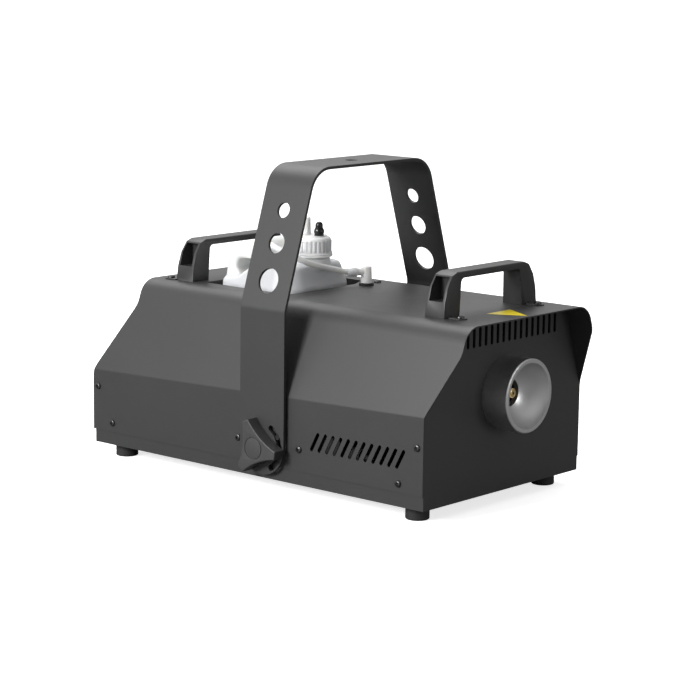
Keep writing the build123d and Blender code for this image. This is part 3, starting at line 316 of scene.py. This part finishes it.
def turned_aluminium(name, centre_z):
    """Rings round the X axis at the nozzle's height."""
    shade = Shade(name)
    moved = shade.node("ShaderNodeMapping", {}, {"Vector": shade.place, "Location": (0, 0, -centre_z)})
    parts = shade.tree.nodes.new("ShaderNodeSeparateXYZ")
    shade.tree.links.new(moved.socket, parts.inputs[0])
    along, across, high = (Value(shade, parts.outputs[k]) for k in range(3))
    radius = (across * across + high * high) ** 0.5
    flat = shade.node("ShaderNodeCombineXYZ", {}, {0: along * 1.0, 1: radius, 2: 0.0})
    rings = shade.node("ShaderNodeTexNoise", {"noise_dimensions": "3D"},
                       {"Vector": flat, "Scale": 2600.0, "Detail": 2.0}, "Fac")
    soft = shade.noise(30.0, 2.0)
    tone = shade.mix(rings * 0.6 + soft * 0.3, grey(0.56), grey(0.7))
    return shade.surface(Base_Color=tone, Metallic=1.0, Roughness=0.34 + rings * 0.08,
                         Normal=shade.bump(rings, 0.12, 0.00005))


nozzle_low, nozzle_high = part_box("nozzle_shroud")
FINISH["bare_aluminium"] = turned_aluminium("turned aluminium", (nozzle_low[2] + nozzle_high[2]) / 2)
FINISH["black_steel"] = metal("blackened steel", grey(0.09), 0.34)
FINISH["zinc_steel"] = metal("zinc plate", grey(0.3), 0.45)
FINISH["nozzle_brass"] = metal("machined brass", (0.78, 0.58, 0.27, 1), 0.26)
FINISH["cast_aluminium"] = metal("heat-stained aluminium", grey(0.09), 0.6, 400.0, (1, 1, 1), 0.5)
FINISH["fibre_jacket"] = moulded("glass fibre mat", (0.02, 0.019, 0.018, 1), 0.92, 0.9, 260.0)
FINISH["display_glass"] = moulded("display window", (0.02, 0.045, 0.06, 1), 0.08, 0.0, 300.0,
                                  Coat_Weight=0.5)
print("finishes:", len(FINISH))

# %% Give every engineering part its finish
SHADE_PAINTED_BEHIND_LOUVRES = {"pump": "dark_insulator"}       # painted shade: the zinc pump is drawn dark so that the louvres look dark, as the shaded inside of the case does
for part in frame["record"]["subparts"]:
    mesh = nodes[part["node"]].data
    mesh.materials.clear()
    mesh.materials.append(FINISH[SHADE_PAINTED_BEHIND_LOUVRES.get(part["node"], part["material_slot"])])

hose.data.materials.append(FINISH["hose_plastic"])

# %% [markdown]
# ## Rounded mouldings
# Real mouldings have no sharp edges: a small radius catches a thin line of light along every
# one. The engineering handles and knobs have flat corners, so a copy of each gets a Bevel
# modifier and takes its place. The copy is merged first, because its triangles are loose.

# %% Round a copy of a part
def link(name, mesh, body, slot):
    piece = bpy.data.objects.new(name, mesh)
    bpy.context.scene.collection.objects.link(piece)
    if not mesh.materials:
        mesh.materials.append(FINISH[slot])
    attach(piece, body)
    return piece


def bake(piece, name):
    """The piece's mesh as its modifiers leave it."""
    graph = bpy.context.evaluated_depsgraph_get()
    mesh = bpy.data.meshes.new_from_object(piece.evaluated_get(graph), depsgraph=graph)
    mesh.name = name
    mesh.transform(Matrix.Identity(4))
    mesh.update()
    return mesh


def rounded(node, name, body, slot, radius, segments=3):
    mesh = nodes[node].data.copy()
    work = bmesh.new()
    work.from_mesh(mesh)
    bmesh.ops.remove_doubles(work, verts=work.verts, dist=0.00002)
    bmesh.ops.dissolve_limit(work, angle_limit=math.radians(1.0), verts=work.verts, edges=work.edges)
    work.to_mesh(mesh)
    work.free()
    source = bpy.data.objects.new(name + "_source", mesh)
    bpy.context.scene.collection.objects.link(source)
    bevel = source.modifiers.new("bevel", "BEVEL")
    bevel.width = radius
    bevel.segments = segments
    bevel.limit_method = "ANGLE"
    bevel.angle_limit = math.radians(32)
    bevel.harden_normals = False
    done = bake(source, name)
    bpy.data.objects.remove(source)
    done.shade_smooth()
    done.materials.clear()
    sharp = link(name, done, body, slot)
    with bpy.context.temp_override(object=sharp, active_object=sharp, selected_editable_objects=[sharp]):
        bpy.ops.object.shade_smooth_by_angle(angle=math.radians(40))
    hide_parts(node)
    return sharp


SOFTENED = (("front_handle", "front_grip", "chassis", "handle_plastic", 0.0012),
            ("rear_handle", "rear_grip", "chassis", "handle_plastic", 0.0012),
            ("right_knob", "right_clamp_knob", "right_knob", "knob_plastic", 0.0006),
            ("left_knob", "left_clamp_knob", "left_knob", "knob_plastic", 0.0006))
for node, name, body, slot, radius in SOFTENED:
    piece = rounded(node, name, body, slot, radius)
    print(name, "faces:", len(piece.data.polygons))

# %% [markdown]
# ## Blow-moulded bottle
# A bottle blown into a mould has no sharp corner anywhere, and its wall flows from one surface
# into the next. Rebuilding a copy from small cubes and relaxing it rounds the inner corners as
# well as the outer ones, which a bevel can't do where the surfaces meet at a shallow angle.

# %% Soften the bottle
def blown_bottle(voxel=0.0014, passes=8):
    source = bpy.data.objects.new("bottle_source", nodes["fluid_bottle"].data.copy())
    bpy.context.scene.collection.objects.link(source)
    weld = source.modifiers.new("weld", "WELD")
    weld.merge_threshold = 0.00002
    cubes = source.modifiers.new("cubes", "REMESH")
    cubes.mode = "VOXEL"
    cubes.voxel_size = voxel
    relax = source.modifiers.new("relax", "SMOOTH")
    relax.factor = 0.5
    relax.iterations = passes
    fewer = source.modifiers.new("fewer", "DECIMATE")
    fewer.ratio = 0.5
    mesh = bake(source, "bottle_shell")
    bpy.data.objects.remove(source)
    mesh.materials.clear()
    mesh.shade_smooth()
    shell = link("bottle_shell", mesh, "bottle", "bottle_plastic")
    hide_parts("fluid_bottle")
    return shell


print("bottle faces:", len(blown_bottle().data.polygons))

# %% [markdown]
# ## Turned shapes
# A cap or a screw head is a profile carried round an axis. One helper takes the profile as
# radius and height, and closes the ring, so that it can be used for every round piece.

# %% Lathe
def lathe(name, profile, steps, centre, closed=True):
    """Rings of points round a vertical axis; a closed profile makes a ring-shaped solid."""
    verts, faces = [], []
    for k in range(steps):
        turn = 2 * math.pi * k / steps
        verts += [(centre[0] + r * math.cos(turn), centre[1] + r * math.sin(turn), z) for r, z in profile]
    count = len(profile)
    spans = count if closed else count - 1
    for k in range(steps):
        a, b = k * count, (k + 1) % steps * count
        for i in range(spans):
            j = (i + 1) % count
            faces.append((a + i, b + i, b + j, a + j))
    if not closed:
        top = len(verts)
        verts += [(centre[0], centre[1], profile[-1][1]), (centre[0], centre[1], profile[0][1])]
        for k in range(steps):
            a, b = k * count, (k + 1) % steps * count
            faces.append((a + count - 1, b + count - 1, top))
            faces.append((b, a, top + 1))
    mesh = bpy.data.meshes.new(name)
    mesh.from_pydata(verts, [], faces)
    work = bmesh.new()
    work.from_mesh(mesh)
    bmesh.ops.recalc_face_normals(work, faces=work.faces)
    work.to_mesh(mesh)
    work.free()
    mesh.shade_smooth()
    return mesh


def arc(centre_r, centre_z, radius, start, end, steps):
    turns = [math.radians(start + (end - start) * k / steps) for k in range(steps + 1)]
    return [(centre_r + radius * math.cos(t), centre_z + radius * math.sin(t)) for t in turns]


print("lathe ready")

# %% [markdown]
# ## Hose sleeve
# Where the hose meets the plug, a short soft sleeve is pushed over both. It is a turned shape
# laid along the hose's last stretch, a little wider at the plug than at the hose.

# %% Sleeve at the plug
def sleeve(name, start, end, profile):
    """A turned shape from start to end; the profile gives a share of the length and a radius."""
    way = end - start
    mesh = lathe(name, [(radius, share * way.length) for share, radius in profile], 48, (0, 0))
    turn = way.to_track_quat("Z", "Y").to_matrix().to_4x4()
    mesh.transform(Matrix.Translation(start) @ turn)
    piece = link(name, mesh, "bottle", "hose_plastic")
    return piece


BORE = HOSE_DIAMETER / 2 - 0.0001
SLEEVE_SHAPE = ((0.0, BORE), (0.0, 0.0040), (0.06, 0.0044), (0.45, 0.0047), (0.94, 0.0050), (1.0, 0.0047),
                (1.0, BORE))
before_plug, plug_barb = machine_point(231.6, 20.2, 209.2), machine_point(*HOSE_ROUTE[-1])
print("sleeve:", sleeve("plug_sleeve", before_plug, plug_barb, SLEEVE_SHAPE).name)

# %% [markdown]
# ## Repeats with Geometry Nodes
# Ribs round a cap and screws over a case are one small shape many times. A node tree places the
# copies, gives each its own turn, makes them real and sets their material. The same helper that
# adds a shader node adds a geometry node, with its settings and the values of its sockets.

# %% A builder for a geometry tree
class Maker(Shade):
    def __init__(self, name, inputs):
        self.tree = bpy.data.node_groups.new(name, "GeometryNodeTree")
        face = self.tree.interface
        face.new_socket("Geometry", in_out="INPUT", socket_type="NodeSocketGeometry")
        for label, kind in inputs:
            face.new_socket(label, in_out="INPUT", socket_type=kind)
        face.new_socket("Geometry", in_out="OUTPUT", socket_type="NodeSocketGeometry")
        self.start = self.tree.nodes.new("NodeGroupInput")
        self.end = self.tree.nodes.new("NodeGroupOutput")

    def given(self, label):
        return Value(self, self.start.outputs[label])

    def finish(self, copies):
        real = self.node("GeometryNodeRealizeInstances", {}, {0: copies})
        painted = self.node("GeometryNodeSetMaterial", {}, {0: real, "Material": self.given("Finish")})
        self.tree.links.new(painted.socket, self.end.inputs[0])
        return self.tree


def grown(base, tree, values, name):
    """Runs a tree on a mesh, with its inputs set by identifier, and returns a plain mesh."""
    holder = bpy.data.objects.new(name + "_seed", base)
    bpy.context.scene.collection.objects.link(holder)
    modifier = holder.modifiers.new("tree", "NODES")
    modifier.node_group = tree
    for item in tree.interface.items_tree:
        if item.in_out == "INPUT" and item.name in values:
            modifier[item.identifier] = values[item.name]
    mesh = bake(holder, name)
    bpy.data.objects.remove(holder)
    return mesh


# %% Ribs round the cap
def rib_tree():
    make = Maker("ribs round a cap", (("Count", "NodeSocketInt"), ("Radius", "NodeSocketFloat"),
                                      ("Thickness", "NodeSocketFloat"),
                                      ("Width", "NodeSocketFloat"), ("Height", "NodeSocketFloat"),
                                      ("Middle", "NodeSocketVector"), ("Finish", "NodeSocketMaterial")))
    ring = make.node("GeometryNodeMeshCircle", {},
                     {"Vertices": make.given("Count"), "Radius": make.given("Radius")})
    rib = make.node("GeometryNodeMeshCylinder", {"fill_type": "TRIANGLE_FAN"},
                    {"Vertices": 12, "Side Segments": 6, "Radius": 0.5, "Depth": 1.0})
    where = make.node("GeometryNodeInputPosition", {}, {})
    facing = make.node("FunctionNodeAlignRotationToVector", {"axis": "X"}, {"Vector": where})
    size = make.node("ShaderNodeCombineXYZ", {},
                     {0: make.given("Thickness"), 1: make.given("Width"), 2: make.given("Height")})
    ribs = make.node("GeometryNodeInstanceOnPoints", {},
                     {"Points": ring, "Instance": rib, "Rotation": facing, "Scale": size})
    moved = make.node("GeometryNodeTransform", {}, {0: ribs, "Translation": make.given("Middle")})
    both = make.tree.nodes.new("GeometryNodeJoinGeometry")
    make.tree.links.new(moved.socket, both.inputs[0])
    make.tree.links.new(make.given("Geometry").socket, both.inputs[0])
    return make.finish(Value(make, both.outputs[0]))


CAP_BORE, CAP_SKIRT, CAP_WALL, CAP_TOP = 0.0196, 0.0240, 0.0222, 0.0180
CAP_SHOULDER = 0.0042           # radius of the rounded top edge
RIB_COUNT, RIB_THICKNESS, RIB_WIDTH = 30, 0.0013, 0.0031
RIBS_START, RIBS_END = 0.0048, 0.0040       # plain bands under and over the ribs


def cap_profile(low, high):
    """Radius and height from the bore's foot, out over the skirt and up round the shoulder."""
    skirt = [(CAP_BORE, low), (CAP_SKIRT - 0.0004, low), (CAP_SKIRT, low + 0.0005),
             (CAP_SKIRT, low + 0.0016)]
    groove = [(CAP_SKIRT - 0.0005, low + 0.0021), (CAP_SKIRT - 0.0005, low + 0.0026),
              (CAP_SKIRT - 0.0001, low + 0.0030), (CAP_SKIRT - 0.0001, low + 0.0040)]
    step = [(CAP_WALL + 0.0010, low + 0.0046), (CAP_WALL, low + 0.0050)]
    shoulder = arc(CAP_TOP, high - CAP_SHOULDER, CAP_SHOULDER, 0, 82, 8)
    mouth = [(CAP_TOP + 0.0002, high), (CAP_TOP + 0.0001, high - 0.0022), (CAP_BORE, high - 0.0024)]
    return skirt + groove + step + shoulder + mouth


def make_cap():
    low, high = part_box("cap_ring")
    centre = ((low[0] + high[0]) / 2, (low[1] + high[1]) / 2)
    rib_height = high[2] - low[2] - RIBS_START - RIBS_END
    middle = (centre[0], centre[1], low[2] + RIBS_START + rib_height / 2)
    body = lathe("cap_shell", cap_profile(low[2], high[2]), 96, centre)
    mesh = grown(body, rib_tree(), {"Count": RIB_COUNT, "Radius": CAP_WALL, "Thickness": RIB_THICKNESS,
                                    "Width": RIB_WIDTH, "Height": rib_height, "Middle": middle,
                                    "Finish": FINISH["cap_plastic"]}, "bottle_cap")
    cap = link("bottle_cap", mesh, "cap", "cap_plastic")
    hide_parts("cap_ring")
    return cap


print("cap faces:", len(make_cap().data.polygons))

# %% [markdown]
# ## Screws
# The case is held by black pan head screws with a cross recess. One head is turned on the lathe
# and cut with a tapered cross. The tree puts a copy on every point, along the direction stored
# at that point, and turns each by a random angle, as screws that were driven by hand are.

# %% One screw head
def cross_cutter(size, depth, top):
    verts, faces = [], []
    for wide, thin in ((size, size * 0.24), (size * 0.24, size)):
        first = len(verts)
        for shrink, z in ((1.0, top + 0.0002), (0.55, top - depth)):
            x, y = wide * shrink / 2, thin * shrink / 2
            verts += [(-x, -y, z), (x, -y, z), (x, y, z), (-x, y, z)]
        a = first
        faces += [(a, a + 1, a + 2, a + 3), (a + 7, a + 6, a + 5, a + 4)]
        faces += [(a + k, a + 4 + k, a + 4 + (k + 1) % 4, a + (k + 1) % 4) for k in range(4)]
    mesh = bpy.data.meshes.new("cross")
    mesh.from_pydata(verts, [], faces)
    cutter = bpy.data.objects.new("cross", mesh)
    bpy.context.scene.collection.objects.link(cutter)
    return cutter


def screw_head(radius, height):
    profile = [(radius * 0.96, 0.0), (radius, height * 0.12), (radius * 0.985, height * 0.35)]
    profile += [(radius * r, height * z) for r, z in ((0.93, 0.62), (0.8, 0.84), (0.58, 0.96), (0.3, 1.0))]
    head = bpy.data.objects.new("screw_head", lathe("screw_head", profile, 28, (0, 0), closed=False))
    bpy.context.scene.collection.objects.link(head)
    cutter = cross_cutter(radius * 1.15, height * 0.62, height)
    cut = head.modifiers.new("cross", "BOOLEAN")
    cut.object = cutter
    cut.operation = "DIFFERENCE"
    cut.solver = "EXACT"
    cut.use_self = True
    head.data = bake(head, "screw_head")
    head.modifiers.clear()
    bpy.data.objects.remove(cutter)
    return head


# %% Screws over the case
def screw_tree():
    make = Maker("screws on points", (("Head", "NodeSocketObject"), ("Seed", "NodeSocketInt"),
                                      ("Finish", "NodeSocketMaterial")))
    head = make.node("GeometryNodeObjectInfo", {}, {"Object": make.given("Head")}, "Geometry")
    along = make.node("GeometryNodeInputNamedAttribute", {"data_type": "FLOAT_VECTOR"}, {"Name": "facing"})
    aligned = make.node("FunctionNodeAlignRotationToVector", {"axis": "Z"}, {"Vector": along})
    turn = make.node("FunctionNodeRandomValue", {"data_type": "FLOAT"},
                     {2: 0.0, 3: 3.14, "Seed": make.given("Seed")}, 1)
    spin = make.node("ShaderNodeCombineXYZ", {}, {0: 0.0, 1: 0.0, 2: turn})
    local = make.node("FunctionNodeEulerToRotation", {}, {0: spin})
    both = make.node("FunctionNodeRotateRotation", {"rotation_space": "LOCAL"}, {0: aligned, 1: local})
    heads = make.node("GeometryNodeInstanceOnPoints", {},
                      {"Points": make.given("Geometry"), "Instance": head, "Rotation": both})
    return make.finish(heads)


def screws_on(name, points, radius, height, node, seed):
    base = bpy.data.meshes.new(name + "_points")
    base.from_pydata([place for place, facing in points], [], [])
    stored = base.attributes.new("facing", "FLOAT_VECTOR", "POINT")
    for item, (place, facing) in zip(stored.data, points):
        item.vector = facing
    head = screw_head(radius, height)
    mesh = grown(base, screw_tree(), {"Head": head, "Seed": seed, "Finish": FINISH["black_steel"]}, name)
    bpy.data.objects.remove(head)
    screws = link(name, mesh, "chassis", "black_steel")
    with bpy.context.temp_override(object=screws, active_object=screws, selected_editable_objects=[screws]):
        bpy.ops.object.shade_smooth_by_angle(angle=math.radians(35))
    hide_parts(node)
    return screws


HALF_WIDTH, TOP_FACE = 128.0, 194.5
SIDE_SCREWS = ((7.7, 77.0), (29.6, 39.3), (216.0, 52.0), (300.0, 52.0), (452.5, 77.0), (429.5, 38.3))
EAR_SCREWS = ((451.0, -63.0), (451.0, 63.0), (64.0, -73.0), (64.0, 73.0))
side_points = [(machine_point(x, side * HALF_WIDTH, z), (0, side, 0))
               for side in (-1, 1) for x, z in SIDE_SCREWS]
top_points = [(machine_point(x, y, TOP_FACE + 1.2), (0, 0, 1)) for x, y in EAR_SCREWS]
top_points.append((machine_point(237.5, 64.4, TOP_FACE), (0, 0, 1)))
SIDE_HEAD, DECK_HEAD = (0.0037, 0.0020), (0.0040, 0.0024)       # radius and height of a screw's head
case_screws = screws_on("case_screws", side_points, *SIDE_HEAD, "cover_screws", 4)
deck_screws = screws_on("deck_screws", top_points, *DECK_HEAD, "top_screws", 9)
print("screws:", len(side_points), "faces:", len(case_screws.data.polygons))
print("screws on top:", len(top_points), "faces:", len(deck_screws.data.polygons))

# %% [markdown]
# ## Floor and light
# A product stands on a white sweep, yet a black case needs dark places to reflect, or it turns
# grey. So the floor and the room look white to the camera, and as sources of light they are
# dimmer, most of all in front. A soft lamp above lights the top, one at the side lights the
# slanted faces and a faint one in front picks out the nozzle.

# %% Floor
FLOOR_FILL = 0.17       # how much light the floor sends back up to the machine
FLOOR_GLOW = 0.72       # keeps the sweep white where no lamp reaches


def make_floor():
    mesh = bpy.data.meshes.new("floor")
    reach = 30.0            # metres, past the horizon that the camera can see
    mesh.from_pydata([(-reach, -reach, 0), (reach, -reach, 0), (reach, reach, 0), (-reach, reach, 0)], [],
                     [(0, 1, 2, 3)])
    floor = bpy.data.objects.new("floor", mesh)
    bpy.context.scene.collection.objects.link(floor)
    shade = Shade("pale floor")
    spots = shade.noise(3.0, 2.0)
    seen = shade.node("ShaderNodeLightPath", {}, {}, "Is Camera Ray")
    tone = shade.mix(seen, grey(FLOOR_FILL), shade.mix(spots, grey(0.93), grey(0.95)))
    glow = shade.mix(seen, grey(0), grey(1))
    mesh.materials.append(shade.surface(Base_Color=tone, Roughness=0.7, Emission_Color=glow,
                                        Emission_Strength=FLOOR_GLOW))
    return floor


print("floor:", make_floor().name)

# %% Lights
def soft_lamp(name, position, target, size, power):
    data = bpy.data.lights.new(name, "AREA")
    data.shape = "RECTANGLE"
    data.size, data.size_y = size
    data.energy = power
    lamp = bpy.data.objects.new(name, data)
    lamp.location = position
    lamp.rotation_euler = (Vector(target) - Vector(position)).to_track_quat("-Z", "Y").to_euler()
    bpy.context.scene.collection.objects.link(lamp)
    return lamp


ROOM_LIGHT, FRONT_FALL, FAR_FALL, SKY_RISE, DARKEST = 0.46, 0.38, 0.08, 0.30, 0.06


def studio_surround():
    """White to the camera; as light, brighter above and behind than at the front."""
    world = bpy.data.worlds.new("studio")
    world.use_nodes = True
    tree = world.node_tree
    back = tree.nodes["Background"]
    shade = Shade.__new__(Shade)
    shade.tree = tree
    way = shade.node("ShaderNodeTexCoord", {}, {}, "Generated")
    parts = tree.nodes.new("ShaderNodeSeparateXYZ")
    tree.links.new(way.socket, parts.inputs[0])
    x, y, z = (Value(shade, parts.outputs[k]) for k in range(3))
    above = z.math("MAXIMUM", z, 0.0)
    lit = ROOM_LIGHT - x * FRONT_FALL - y * FAR_FALL + above * SKY_RISE
    seen = shade.node("ShaderNodeLightPath", {}, {}, "Is Camera Ray")
    strength = seen + (1 - seen) * lit.math("MAXIMUM", lit, DARKEST)
    back.inputs["Color"].default_value = (1, 1, 1, 1)
    tree.links.new(strength.socket, back.inputs["Strength"])
    bpy.context.scene.world = world
    return world


studio_surround()
bpy.context.scene.view_settings.view_transform = "Standard"
LAMPS = (soft_lamp("top", (-0.9, 0.5, 1.9), (0, 0, 0.1), (1.6, 1.6), 26),
         soft_lamp("side", (-0.35, -2.1, 0.95), (0.2, 0, 0.15), (0.6, 0.6), 52),
         soft_lamp("front", (2.4, 0.5, 0.5), (0.2, 0, 0.12), (0.7, 0.7), 9))
print("lamps:", [lamp.name for lamp in LAMPS])
